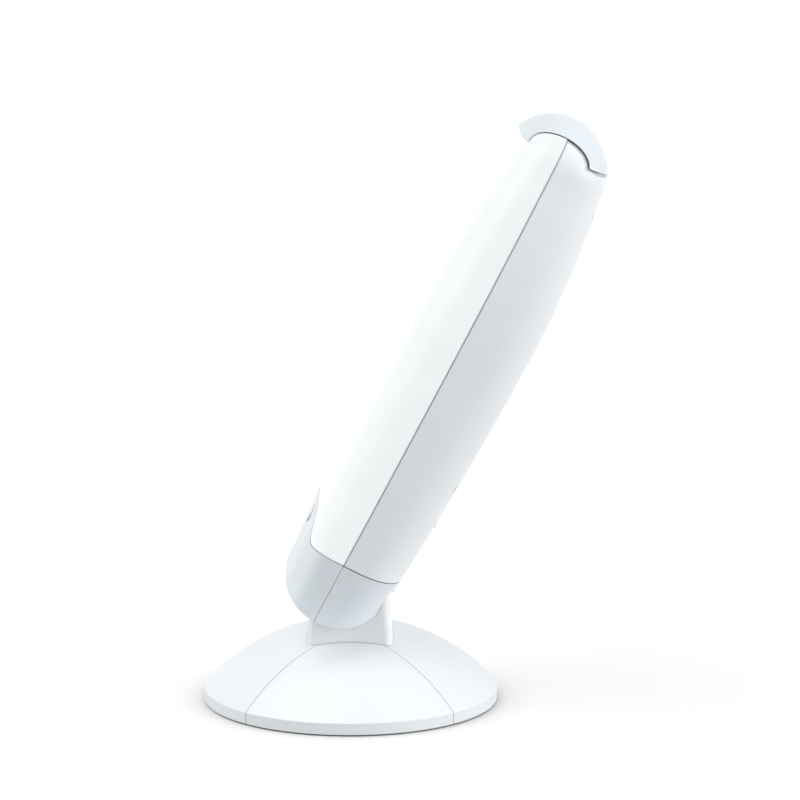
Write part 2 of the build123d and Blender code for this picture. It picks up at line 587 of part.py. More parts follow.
# ---- hinge hardware ---------------------------------------------------------------------
def build_hinge():
    """Pin, yoke, washers, disc springs and nuts, upright, by node name."""
    cheek_in = NECK_HALF_WIDTH + CHEEK_CLEARANCE
    ear_in = cheek_in + CHEEK_WALL + WASHER_PLAY
    ear_out = ear_in + YOKE_STEEL
    web_back = CHASSIS_X
    web_front = CHASSIS_X - YOKE_STEEL
    web_bottom = KNUCKLE_RADIUS + SLOT_CLEARANCE + HOOD_WALL + 2
    bore = PIN_RADIUS + PIN_CLEARANCE

    def ear(side):
        near, far = sorted((side * ear_in, side * ear_out))
        eye = along_y(YOKE_EAR_RADIUS, near, far)
        arm = block((web_front, near, 0), (web_back, far, YOKE_WEB_TOP))
        rib = block((web_front - YOKE_RIB, near, 0), (web_front, far, HOLDER_BOTTOM - CHASSIS_MARGIN))
        return eye + arm + rib

    yoke = ear(1) + ear(-1) + block((web_front, -ear_in, web_bottom), (web_back, ear_in, YOKE_WEB_TOP))
    yoke -= along_y(bore, -ear_out - 1, ear_out + 1)
    spring_in = ear_out + WASHER_PLAY
    spring_out = spring_in + SPRING_THICKNESS
    nut_in = spring_out + WASHER_PLAY
    nut_out = nut_in + NUT_THICKNESS

    def ring(radius, near, far, side):
        return along_y(radius, side * near, side * far) - along_y(bore, side * (near - 1), side * (far + 1))

    def nut(side):
        hexagon = Plane.XZ * RegularPolygon(NUT_FLATS / 2, 6, major_radius=False)
        start = nut_in if side < 0 else -nut_in
        body = Pos(0, -start, 0) * extrude(hexagon, amount=side * -NUT_THICKNESS)
        return body - along_y(bore, -nut_out - 1, nut_out + 1)

    washer_in, washer_out = NECK_HALF_WIDTH + WASHER_PLAY, cheek_in - WASHER_PLAY
    return {
        "hinge_yoke": yoke,
        "pivot_pin": along_y(PIN_RADIUS, -nut_out - PIN_END, nut_out + PIN_END),
        "friction_washers": both_sides(lambda side: ring(WASHER_RADIUS, washer_in, washer_out, side)),
        "disc_springs": both_sides(lambda side: ring(SPRING_RADIUS, spring_in, spring_out, side)),
        "pivot_nuts": both_sides(nut),
    }


# ---- light source -----------------------------------------------------------------------
def build_light():
    """Chassis, reflector, lamps, lampholders and clips, upright, by node name."""
    chassis_back = CHASSIS_X + CHASSIS_THICKNESS
    web_front = CHASSIS_X - YOKE_STEEL
    reach = HALF_WIDTH_MID
    room = head_form(SHELL_WALL + CHASSIS_MARGIN)
    chassis = room & block((CHASSIS_X, -reach, CHASSIS_BOTTOM), (chassis_back, reach, CHASSIS_TOP))
    for distance, z in CASE_SCREWS:
        for side in (1, -1):
            chassis -= along_x(SCREW_RADIUS, CHASSIS_X - 1, chassis_back + 1, side * distance, z)

    trough_x = CHASSIS_X - REFLECTOR_SHEET
    wing, ridge = REFLECTOR_WING_X, REFLECTOR_RIDGE_X
    places = [(wing, -REFLECTOR_HALF_WIDTH), (trough_x, -LAMP_OFFSET), (ridge, 0), (trough_x, LAMP_OFFSET),
              (wing, REFLECTOR_HALF_WIDTH)]
    front = Spline(*places, tangents=[(1, 1), (0, 1), (0, 1), (0, 1), (-1, 1)])
    back = Pos(REFLECTOR_SHEET, 0) * front
    sheet = make_face(front + Line(front @ 1, back @ 1) + back + Line(back @ 0, front @ 0))
    reflector = Pos(0, 0, REFLECTOR_BOTTOM) * extrude(sheet, amount=REFLECTOR_TOP - REFLECTOR_BOTTOM)
    for side in (1, -1):
        for distance, z in CASE_SCREWS:
            reflector -= along_x(SCREW_HEAD_RADIUS + 1, REFLECTOR_WING_X - 5, CHASSIS_X, side * distance, z)
        reflector -= clip_foot(side * LAMP_OFFSET, FIT_GAP)

    nodes = {"chassis_plate": chassis, "reflector": reflector}
    holder_top = HOLDER_BOTTOM + HOLDER_HEIGHT
    base_top = holder_top + TUBE_BASE_LENGTH
    for name, side in (("far", 1), ("near", -1)):
        y = side * LAMP_OFFSET
        holder = block((HOLDER_FRONT, y - HOLDER_HALF_WIDTH, HOLDER_BOTTOM),
                       (web_front, y + HOLDER_HALF_WIDTH, holder_top))
        nodes[name + "_lampholder"] = chamfer(holder.edges().filter_by(Axis.Z), 3)
        base = block((TUBE_X - TUBE_BASE_HALF_DEPTH, y - TUBE_BASE_HALF_WIDTH, holder_top),
                     (TUBE_X + TUBE_BASE_HALF_DEPTH, y + TUBE_BASE_HALF_WIDTH, base_top))
        nodes[name + "_tube_base"] = fillet(base.edges().filter_by(Axis.Z), 5)
        nodes[name + "_lamp_tube"] = lamp_tube(y, base_top)
    nodes["tube_clips"] = both_sides(lambda side: tube_clip(side * LAMP_OFFSET))
    return nodes


def lamp_tube(y, bottom):
    """Twin-leg lamp tube: two legs joined by a short bridge near their tops."""
    top = bottom + TUBE_GLASS_LENGTH
    tube = None
    for leg in (y - TUBE_PITCH / 2, y + TUBE_PITCH / 2):
        bar = upright(TUBE_RADIUS, bottom, top, TUBE_X, leg)
        bar = fillet(bar.edges().group_by(Axis.Z)[-1], TUBE_RADIUS * 0.7)
        tube = bar if tube is None else tube + bar
    return tube + along_y(TUBE_BRIDGE_RADIUS, y - TUBE_PITCH / 2, y + TUBE_PITCH / 2,
                          x=TUBE_X, z=top - TUBE_BRIDGE_DROP)


def clip_foot(y, grow):
    """Foot of a lamp's clip, which passes the reflector to the chassis plate, grown outwards."""
    half_web = TUBE_PITCH / 2 - TUBE_RADIUS - CLIP_CLEARANCE + grow
    return block((TUBE_X + TUBE_RADIUS / 2, y - half_web, CLIP_Z - grow), (CHASSIS_X, y + half_web, CLIP_Z + CLIP_HEIGHT + grow))


def tube_clip(y):
    """Spring clip that holds both legs of one lamp in front of the reflector."""
    inner = TUBE_RADIUS + CLIP_CLEARANCE
    outer = inner + CLIP_WALL
    low, high = CLIP_Z, CLIP_Z + CLIP_HEIGHT
    legs = (y - TUBE_PITCH / 2, y + TUBE_PITCH / 2)
    clip = clip_foot(y, 0)
    for leg in legs:
        clip += upright(outer, low, high, TUBE_X, leg)
    for leg in legs:
        clip -= upright(inner, low - 1, high + 1, TUBE_X, leg)
        mouth = 2 * inner * math.sin(math.radians(CLIP_OPENING / 2))
        clip -= block((TUBE_X - 2 * outer, leg - mouth / 2, low - 1), (TUBE_X, leg + mouth / 2, high + 1))
    return clip


# ---- supply and switch ------------------------------------------------------------------
def build_supply():
    """Ballast, inlet socket with its pins, and the switch behind the button, by node name."""
    chassis_back = CHASSIS_X + CHASSIS_THICKNESS
    ballast = block((chassis_back, -BALLAST_HALF_WIDTH, BALLAST_BOTTOM),
                    (chassis_back + BALLAST_DEPTH, BALLAST_HALF_WIDTH, BALLAST_BOTTOM + BALLAST_LENGTH))
    ballast = chamfer(ballast.edges().filter_by(Axis.Z).group_by(Axis.X)[-1], 2)

    face_x = head_size(INLET_Z)[0]
    seat_x = face_x - INLET_FLANGE[0]
    body = block((seat_x - INLET_BODY[0], -INLET_BODY[1] / 2, INLET_Z - INLET_BODY[2] / 2),
                 (seat_x, INLET_BODY[1] / 2, INLET_Z + INLET_BODY[2] / 2))
    body += block((seat_x, -INLET_FLANGE[1] / 2, INLET_Z - INLET_FLANGE[2] / 2),
                  (face_x, INLET_FLANGE[1] / 2, INLET_Z + INLET_FLANGE[2] / 2))
    floor_x = face_x - INLET_RECESS_DEPTH
    recess = Plane.YZ * SlotOverall(INLET_RECESS_WIDTH, INLET_RECESS_HEIGHT)
    body -= Pos(floor_x, 0, INLET_Z) * extrude(recess, amount=INLET_RECESS_DEPTH)
    pins = both_sides(lambda side: along_x(
        INLET_PIN_RADIUS, floor_x, floor_x + INLET_PIN_LENGTH, side * INLET_PIN_OFFSET, INLET_Z))

    wall_out = -head_size(BUTTON_Z)[0]
    wall_in = SHELL_WALL - head_size(BUTTON_Z - BUTTON_RADIUS - BUTTON_FLANGE)[0]
    face = wall_out - BUTTON_PROUD
    flange_front = wall_in + BUTTON_GAP
    flange_back = flange_front + BUTTON_FLANGE_THICKNESS
    button = along_x(BUTTON_RADIUS, face, flange_back, z=BUTTON_Z)
    button = fillet(button.edges().group_by(Axis.X)[0], 0.8)
    button += along_x(BUTTON_RADIUS + BUTTON_FLANGE, flange_front, flange_back, z=BUTTON_Z)
    switch_back = -math.sqrt((KNUCKLE_RADIUS + SLOT_CLEARANCE + HOOD_WALL) ** 2
                             - (BUTTON_Z - SWITCH_SIZE[2] / 2) ** 2) - FIT_GAP
    switch_front = switch_back - SWITCH_SIZE[0]
    stem_end = switch_front - BUTTON_TRAVEL - FIT_GAP
    button += along_x(STEM_RADIUS, flange_front, stem_end, z=BUTTON_Z)
    switch = block((switch_front, -SWITCH_SIZE[1] / 2, BUTTON_Z - SWITCH_SIZE[2] / 2),
                   (switch_back, SWITCH_SIZE[1] / 2, BUTTON_Z + SWITCH_SIZE[2] / 2))
    return {"ballast_unit": ballast, "inlet_socket": body, "inlet_pins": pins,
            "power_button": button, "switch_body": switch}


def case_screw(y, z):
    """Pan-head screw that holds the back shell to the chassis plate."""
    chassis_back = CHASSIS_X + CHASSIS_THICKNESS
    seat = chassis_back + CASE_SHOULDER
    head = along_x(SCREW_HEAD_RADIUS, seat, seat + CASE_HEAD_THICKNESS, y, z)
    head = fillet(head.edges().group_by(Axis.X)[-1], 1.0)
    return head + along_x(SCREW_RADIUS - 0.05, CHASSIS_X - 2, seat, y, z)


def build_head():
    """All pieces of the head, leant back to their place, by node name."""
    nodes = {}
    nodes.update(build_shells())
    nodes.update(build_hinge())
    nodes.update(build_light())
    nodes.update(build_supply())
    nodes["case_screws"] = Compound(children=[
        case_screw(side * distance, z) for distance, z in CASE_SCREWS for side in (1, -1)])
    return {name: HEAD * piece for name, piece in nodes.items()}


def main():
    """Write one STEP file per node."""
    os.makedirs("parts", exist_ok=True)
    nodes = build_foot()
    nodes.update(build_head())
    for name, piece in nodes.items():
        solids = piece.solids()
        export_step(solids[0] if len(solids) == 1 else Compound(children=solids), f"parts/{name}.step")


if __name__ == "__main__":
    main()
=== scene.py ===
"""Light therapy lamp: finishes, fastener detail, floor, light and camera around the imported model.

Metres. The lamp stands on the floor at z = 0, its light faces -X and its near side faces -Y.
"""

from __future__ import annotations

import logging
import math
from dataclasses import dataclass, field
from enum import Enum

import bpy
from mathutils import Matrix, Vector

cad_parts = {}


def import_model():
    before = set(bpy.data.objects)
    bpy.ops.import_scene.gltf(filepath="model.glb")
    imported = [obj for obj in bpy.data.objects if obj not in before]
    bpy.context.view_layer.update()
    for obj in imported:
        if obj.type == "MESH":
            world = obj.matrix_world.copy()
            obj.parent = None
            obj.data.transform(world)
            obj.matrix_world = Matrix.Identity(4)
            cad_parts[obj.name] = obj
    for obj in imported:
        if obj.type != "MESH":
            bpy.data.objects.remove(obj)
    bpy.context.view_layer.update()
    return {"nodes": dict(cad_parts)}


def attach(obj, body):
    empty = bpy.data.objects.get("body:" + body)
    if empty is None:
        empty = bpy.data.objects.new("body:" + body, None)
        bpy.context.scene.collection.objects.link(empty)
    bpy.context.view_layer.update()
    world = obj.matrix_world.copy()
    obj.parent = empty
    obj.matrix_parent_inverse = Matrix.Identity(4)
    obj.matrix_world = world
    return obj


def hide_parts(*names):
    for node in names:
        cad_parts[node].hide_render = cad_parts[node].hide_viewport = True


LOG = logging.getLogger("lamp")
Colour = tuple[float, float, float]

WHITE = (1.0, 1.0, 1.0, 1.0)
REST_LEAN = math.radians(27.5)
MIDDLE = 0.5                # middle of a noise's range
SPIN_STEP = 37.0            # degrees between the recesses of neighbouring screws
RING_CORNERS = 8            # a screw's rim has more corners than this
LEVEL_GAP = 1e-5            # corners and faces within this are at one height


# ---- node graphs ------------------------------------------------------------------------
class Signal:
    """A value running through a node tree; arithmetic on it adds Math nodes."""

    def __init__(self, recipe: "Recipe", socket: bpy.types.NodeSocket) -> None:
        """Keep the recipe that owns the socket."""
        self.recipe = recipe
        self.socket = socket

    def _maths(self, operation: str, left: "Feed", right: "Feed") -> "Signal":
        """Add one Math node.

        Args:
            operation: the node's operation.
            left: first operand.
            right: second operand.

        Returns:
            The result of the operation.
        """
        return self.recipe.node("ShaderNodeMath", {"operation": operation}, {0: left, 1: right})

    def __add__(self, other: "Feed") -> "Signal":
        """Sum."""
        return self._maths("ADD", self, other)

    __radd__ = __add__

    def __sub__(self, other: "Feed") -> "Signal":
        """Difference."""
        return self._maths("SUBTRACT", self, other)

    def __rsub__(self, other: "Feed") -> "Signal":
        """Difference from a number."""
        return self._maths("SUBTRACT", other, self)

    def __mul__(self, other: "Feed") -> "Signal":
        """Product."""
        return self._maths("MULTIPLY", self, other)

    def at_least(self, other: "Feed") -> "Signal":
        """The larger of two values."""
        return self._maths("MAXIMUM", self, other)


Feed = Signal | float | int | tuple | bpy.types.NodeSocket


class Recipe:
    """A node tree, and the one way in which nodes are added to it."""

    MIX_FACTOR, MIX_FIRST, MIX_SECOND, MIX_COLOUR = 0, 6, 7, 2
    BEVEL_SAMPLES = 6
    OPENNESS_SAMPLES = 8

    def __init__(self, tree: bpy.types.NodeTree) -> None:
        """Empty the tree."""
        self.tree = tree
        self.tree.nodes.clear()

    def node(self, kind: str, settings: dict[str, object] | None = None,
             sockets: dict[str | int, Feed] | None = None, output: str | int = 0) -> Signal:
        """Add a node.

        Args:
            kind: the node's type name.
            settings: its properties, and "stops" for a colour ramp's stops.
            sockets: values or signals of its inputs, by name or number.
            output: the output that is wanted.

        Returns:
            That output.
        """
        node = self.tree.nodes.new(kind)
        for key, value in (settings or {}).items():
            if key == "stops":
                self._set_stops(node.color_ramp, value)
            else:
                setattr(node, key, value)
        for key, value in (sockets or {}).items():
            if isinstance(value, Signal):
                self.tree.links.new(value.socket, node.inputs[key])
            else:
                node.inputs[key].default_value = value
        outputs = node.outputs
        return Signal(self, outputs[output]) if len(outputs) else Signal(self, None)

    @staticmethod
    def _set_stops(ramp: bpy.types.ColorRamp, stops: list[tuple[float, float]]) -> None:
        """Give a ramp its stops.

        Args:
            ramp: the ramp.
            stops: position and grey level of each stop.
        """
        while len(ramp.elements) < len(stops):
            ramp.elements.new(1.0)
        for element, (place, level) in zip(ramp.elements, stops):
            element.position = place
            element.color = (level, level, level, 1.0)

    def place(self) -> Signal:
        """Object coordinates."""
        return self.node("ShaderNodeTexCoord", output="Object")

    def noise(self, size: float, detail: float = 2.0, roughness: float = 0.5,
              stretch: Colour = (1.0, 1.0, 1.0)) -> Signal:
        """Noise with blobs of one size.

        Args:
            size: how large a blob is.
            detail: finer octaves.
            roughness: their strength.
            stretch: how much finer the noise is along each axis.

        Returns:
            The noise's level, 0 to 1.
        """
        mapping = self.node("ShaderNodeMapping", {}, {"Vector": self.place(), "Scale": stretch})
        return self.node("ShaderNodeTexNoise", {}, {
            "Vector": mapping, "Scale": 1.0 / size, "Detail": detail, "Roughness": roughness})

    def contrast(self, value: Signal, low: float, high: float) -> Signal:
        """Stretch the part of a value between two levels to 0..1.

        Args:
            value: the value.
            low: level that becomes 0.
            high: level that becomes 1.

        Returns:
            The stretched value, clamped.
        """
        return self.node("ShaderNodeMapRange", {"clamp": True}, {
            "Value": value, "From Min": low, "From Max": high})

    def tint(self, factor: Feed, first: Feed, second: Colour) -> Signal:
        """Mix two colours.

        Args:
            factor: share of the second.
            first: first colour, plain or from a node.
            second: second colour.

        Returns:
            The mixed colour.
        """
        start = first if isinstance(first, Signal) else (*first, 1.0)
        return self.node("ShaderNodeMix", {"data_type": "RGBA"}, {
            self.MIX_FACTOR: factor, self.MIX_FIRST: start, self.MIX_SECOND: (*second, 1.0)},
            output=self.MIX_COLOUR)

    def relief(self, height: Signal, depth: float, edge: float) -> Signal:
        """Surface normal with a fine relief and softly rounded edges.

        Args:
            height: relief, 0 to 1.
            depth: what a height of 1 stands for.
            edge: radius of the edges.

        Returns:
            The normal.
        """
        rounded = self.node("ShaderNodeBevel", {"samples": self.BEVEL_SAMPLES}, {"Radius": edge})
        return self.node("ShaderNodeBump", {}, {
            "Strength": 1.0, "Distance": depth, "Height": height, "Normal": rounded})

    def openness(self, reach: float) -> Signal:
        """How open a place is to its surroundings; the mouldings and the floor use it to paint
        shade.

        Args:
            reach: how far away other surfaces still count.

        Returns:
            1 in the open, falling towards 0 in a seam or a corner.
        """
        return self.node("ShaderNodeAmbientOcclusion", {"samples": self.OPENNESS_SAMPLES},
                         {"Distance": reach}, output="AO")

    def surface(self, shader: Signal, output: str = "ShaderNodeOutputMaterial") -> None:
        """Connect the last shader to the output."""
        self.node(output, {}, {"Surface": shader})


def shade(colour: Colour, factor: float) -> Colour:
    """A colour made darker or lighter by a factor."""
    return tuple(min(1.0, channel * factor) for channel in colour)


# ---- finishes ---------------------------------------------------------------------------
@dataclass(frozen=True)
class Finish:
    """What every finish has: a name, a colour, and softly rounded edges."""

    name: str
    colour: Colour
    roughness: float = 0.4
    edge: float = 0.0004

    def recipe(self, recipe: Recipe) -> Signal:
        """Build the shader; each kind of finish has its own."""
        raise NotImplementedError

    def make(self) -> bpy.types.Material:
        """Make the material."""
        material = bpy.data.materials.new(self.name)
        material.use_nodes = True
        recipe = Recipe(material.node_tree)
        recipe.surface(self.recipe(recipe))
        return material


@dataclass(frozen=True)
class Moulding(Finish):
    """Moulded plastic: grain, faint flow tone, slightly uneven gloss and painted shade in seams and
    corners.
    """

    grain: float = 0.00045
    speck: float = 0.00225
    speck_share: float = 0.3
    depth: float = 0.000012
    tone: float = 0.025
    flow: float = 0.06
    uneven: float = 0.06
    specular: float = 0.5
    painted_shade_reach: float = 0.0022
    painted_shade_open: float = 0.9
    painted_shade_closed: float = 0.35
    painted_shade_tone: float = 0.35

    def recipe(self, recipe: Recipe) -> Signal:
        """Build the shader."""
        grain = recipe.noise(self.grain, 1.0)
        flow = recipe.noise(self.flow, 3.0, 0.55, (1.0, 1.0, 0.35))
        specks = recipe.contrast(recipe.noise(self.speck, 1.0), 0.35, 0.7)
        patches = recipe.contrast(flow, 0.3, 0.7)
        mask = patches * (1 - self.speck_share) + specks * self.speck_share
        plain = recipe.tint(mask, self.colour, shade(self.colour, 1 - self.tone))
        # painted shade: the colour darkens where other surfaces are near, in seams, gaps and
        # corners
        seam = recipe.contrast(recipe.openness(self.painted_shade_reach), self.painted_shade_open, self.painted_shade_closed)
        gloss = (flow - MIDDLE) * self.uneven
        return recipe.node("ShaderNodeBsdfPrincipled", {}, {
            "Base Color": recipe.tint(seam, plain, shade(self.colour, self.painted_shade_tone)),
            "Roughness": self.roughness + gloss + (grain - MIDDLE) * self.uneven,
            "Specular IOR Level": self.specular,
            "Normal": recipe.relief(grain, self.depth, self.edge)})


@dataclass(frozen=True)
class Opal(Finish):
    """Opal acrylic: a satin skin with a painted glow that keeps it evenly bright though no lamp
    inside is lit.
    """

    grain: float = 0.0009
    depth: float = 0.000008
    cloud: float = 0.045
    cloud_tone: float = 0.985
    specular: float = 0.3
    coat: float = 0.04
    coat_cloud: float = 0.06
    coat_roughness: float = 0.12
    glow: float = 0.745
    painted_glow_colour: Colour = (0.965, 0.995, 1.0)
    painted_glow_tone: float = 0.96

    def recipe(self, recipe: Recipe) -> Signal:
        """Build the shader."""
        grain = recipe.noise(self.grain, 2.0)
        cloud = recipe.contrast(recipe.noise(self.cloud, 2.0), 0.3, 0.7)
        dim_painted_glow = shade(self.painted_glow_colour, self.painted_glow_tone)
        return recipe.node("ShaderNodeBsdfPrincipled", {}, {
            "Base Color": recipe.tint(cloud, self.colour, shade(self.colour, self.cloud_tone)),
            "Roughness": self.roughness + (grain - MIDDLE) * 0.05 + (cloud - MIDDLE) * 0.04,
            "Specular IOR Level": self.specular,
            "Coat Weight": self.coat + cloud * self.coat_cloud,
            "Coat Roughness": self.coat_roughness,
            # painted glow: a constant emission that makes the diffuser evenly bright, standing in
            # for light scattered through the opal
            "Emission Color": recipe.tint(cloud, self.painted_glow_colour, dim_painted_glow),
            "Emission Strength": self.glow,
            "Normal": recipe.relief(grain, self.depth, self.edge)})


@dataclass(frozen=True)
class Elastomer(Finish):
    """Soft matt rubber with a bloom in places."""

    grain: float = 0.0003
    depth: float = 0.00002
    bloom: float = 0.012
    bloom_tone: float = 1.18
    specular: float = 0.35

    def recipe(self, recipe: Recipe) -> Signal:
        """Build the shader."""
        grain = recipe.noise(self.grain, 2.0)
        bloom = recipe.contrast(recipe.noise(self.bloom, 4.0, 0.6), 0.45, 0.75)
        return recipe.node("ShaderNodeBsdfPrincipled", {}, {
            "Base Color": recipe.tint(bloom, self.colour, shade(self.colour, self.bloom_tone)),
            "Roughness": self.roughness + (bloom - MIDDLE) * 0.1,
            "Specular IOR Level": self.specular,
            "Normal": recipe.relief(grain, self.depth, self.edge)})


@dataclass(frozen=True)
class Paint(Finish):
    """Sprayed or powder paint: orange-peel relief, and for a casting a rough ground."""

    peel: float = 0.0016
    depth: float = 0.00003
    ground: float = 0.006
    rough_ground: float = 0.0
    worn_tone: float = 0.9

    def recipe(self, recipe: Recipe) -> Signal:
        """Build the shader."""
        peel = recipe.noise(self.peel, 1.5)
        ground = recipe.noise(self.ground, 6.0, 0.65)
        worn = recipe.contrast(ground, 0.55, 0.8)
        return recipe.node("ShaderNodeBsdfPrincipled", {}, {
            "Base Color": recipe.tint(worn, self.colour, shade(self.colour, self.worn_tone)),
            "Roughness": self.roughness + (peel - MIDDLE) * 0.12 + worn * 0.08,
            "Normal": recipe.relief(peel + ground * self.rough_ground, self.depth, self.edge)})


class Working(Enum):
    """How a metal surface was worked: the stretch of its fine marks."""

    TUMBLED = (1.0, 1.0, 1.0)
    TURNED = (1.0, 14.0, 1.0)
    ROLLED = (14.0, 14.0, 0.6)


@dataclass(frozen=True)
class Metal(Finish):
    """Plated, turned or rolled metal with fine working marks and a thin haze."""

    working: Working = Working.TUMBLED
    mark: float = 0.0012
    depth: float = 0.000008
    haze: float = 0.008
    haze_tone: float = 0.86
    haze_dulling: float = 0.06

    def recipe(self, recipe: Recipe) -> Signal:
        """Build the shader."""
        marks = recipe.noise(self.mark, 3.0, 0.6, self.working.value)
        haze = recipe.contrast(recipe.noise(self.haze, 3.0, 0.55), 0.4, 0.75)
        return recipe.node("ShaderNodeBsdfPrincipled", {}, {
            "Base Color": recipe.tint(haze, self.colour, shade(self.colour, self.haze_tone)),
            "Metallic": 1.0 - haze * self.haze_dulling,
            "Roughness": self.roughness + (marks - MIDDLE) * 0.14 + haze * 0.07,
            "Normal": recipe.relief(marks, self.depth, self.edge)})


@dataclass(frozen=True)
class PhosphorGlass(Finish):
    """Glass tube with a matt phosphor lining under a glossy skin."""

    lining: float = 0.004
    lining_depth: float = 0.00001
    end_shade: float = 0.03
    tone: float = 0.94
    coat: float = 0.9
    coat_roughness: float = 0.04

    def recipe(self, recipe: Recipe) -> Signal:
        """Build the shader."""
        lining = recipe.contrast(recipe.noise(self.lining, 5.0, 0.6), 0.4, 0.8)
        ends = recipe.contrast(recipe.noise(self.end_shade, 2.0), 0.4, 0.7)
        mask = lining * 0.5 + ends * 0.5
        return recipe.node("ShaderNodeBsdfPrincipled", {}, {
            "Base Color": recipe.tint(mask, self.colour, shade(self.colour, self.tone)),
            "Roughness": self.roughness + lining * 0.1,
            "Coat Weight": self.coat + ends * (1 - self.coat),
            "Coat Roughness": self.coat_roughness,
            "Normal": recipe.relief(lining, self.lining_depth, self.edge)})


FINISHES: dict[str, Finish] = {
    "white_shell": Moulding("satin_white_moulding", (0.865, 0.885, 0.90), 0.34),
    "opal_diffuser": Opal("opal_acrylic", (0.18, 0.185, 0.185), 0.38),
    "grey_shell": Moulding("light_grey_moulding", (0.75, 0.79, 0.825), 0.32),
    "grey_seal": Elastomer("light_grey_seal", (0.44, 0.50, 0.54), 0.6, 0.0002),
    "button_plastic": Moulding("button_moulding", (0.84, 0.86, 0.88), 0.28),
    "inner_plastic": Moulding("heat_resistant_moulding", (0.74, 0.75, 0.74), 0.5),
    "black_plastic": Moulding("black_inlet_moulding", (0.022, 0.022, 0.025), 0.45, 0.0003),
    "bush_plastic": Moulding("waxy_bush_moulding", (0.72, 0.69, 0.58), 0.36),
    "foot_rubber": Elastomer("dark_foot_rubber", (0.035, 0.035, 0.038), 0.7),
    "cast_weight": Paint("black_painted_casting", (0.028, 0.028, 0.03), 0.55, 0.0006,
                         rough_ground=2.0),
    "zinc_steel": Metal("zinc_plated_steel", (0.63, 0.65, 0.67), 0.34, 0.0002),
    "bright_steel": Metal("ground_steel", (0.62, 0.62, 0.63), 0.2, 0.0003,
                          working=Working.TURNED),
    "white_sheet": Paint("white_powder_coat", (0.8, 0.8, 0.785), 0.42, 0.0003),
    "polished_sheet": Metal("bright_reflector_sheet", (0.86, 0.87, 0.88), 0.12, 0.0002,
                            working=Working.ROLLED),
    "lamp_glass": PhosphorGlass("phosphor_lined_glass", (0.86, 0.86, 0.83), 0.3, 0.0003),
    "ballast_can": Paint("white_lacquered_can", (0.70, 0.72, 0.72), 0.38, 0.0004),
    "pin_brass": Metal("polished_brass", (0.72, 0.52, 0.24), 0.22, 0.0002, working=Working.TURNED),
}


# ---- modelling helpers ------------------------------------------------------------------
def deselect() -> None:
    """Leave nothing selected."""
    bpy.ops.object.select_all(action="DESELECT")


def select_only(piece: bpy.types.Object) -> None:
    """Select one piece and make it active."""
    deselect()
    piece.select_set(True)
    bpy.context.view_layer.objects.active = piece


def apply_place(piece: bpy.types.Object) -> None:
    """Move a piece's place into its mesh, so that its object sits at the origin."""
    select_only(piece)
    bpy.ops.object.transform_apply(location=True, rotation=True, scale=True)


def smooth(piece: bpy.types.Object, degrees: float = 35.0) -> None:
    """Shade a piece smooth up to an angle between faces."""
    select_only(piece)
    bpy.ops.object.shade_smooth_by_angle(angle=math.radians(degrees))


def islands(mesh: bpy.types.Mesh, same: float = 2e-5) -> list[list[Vector]]:
    """Split a mesh into its separate solids.

    Args:
        mesh: the mesh, whose triangles may be loose.
        same: distance within which two corners are the same.

    Returns:
        The corners of each solid.
    """
    keys = [tuple(round(c / same) for c in v.co) for v in mesh.vertices]
    parent: dict[tuple, tuple] = {key: key for key in keys}

    def root(key: tuple) -> tuple:
        """Follow a corner to its solid's first corner."""
        while parent[key] != key:
            parent[key] = parent[parent[key]]
            key = parent[key]
        return key

    for polygon in mesh.polygons:
        first = root(keys[polygon.vertices[0]])
        for index in polygon.vertices[1:]:
            parent[root(keys[index])] = first
    groups: dict[tuple, list[Vector]] = {}
    for key, vertex in zip(keys, mesh.vertices):
        groups.setdefault(root(key), []).append(vertex.co.copy())
    return list(groups.values())


class ScrewHead(Enum):
    """Kinds of screw head."""

    COUNTERSUNK = "countersunk"
    PAN = "pan"


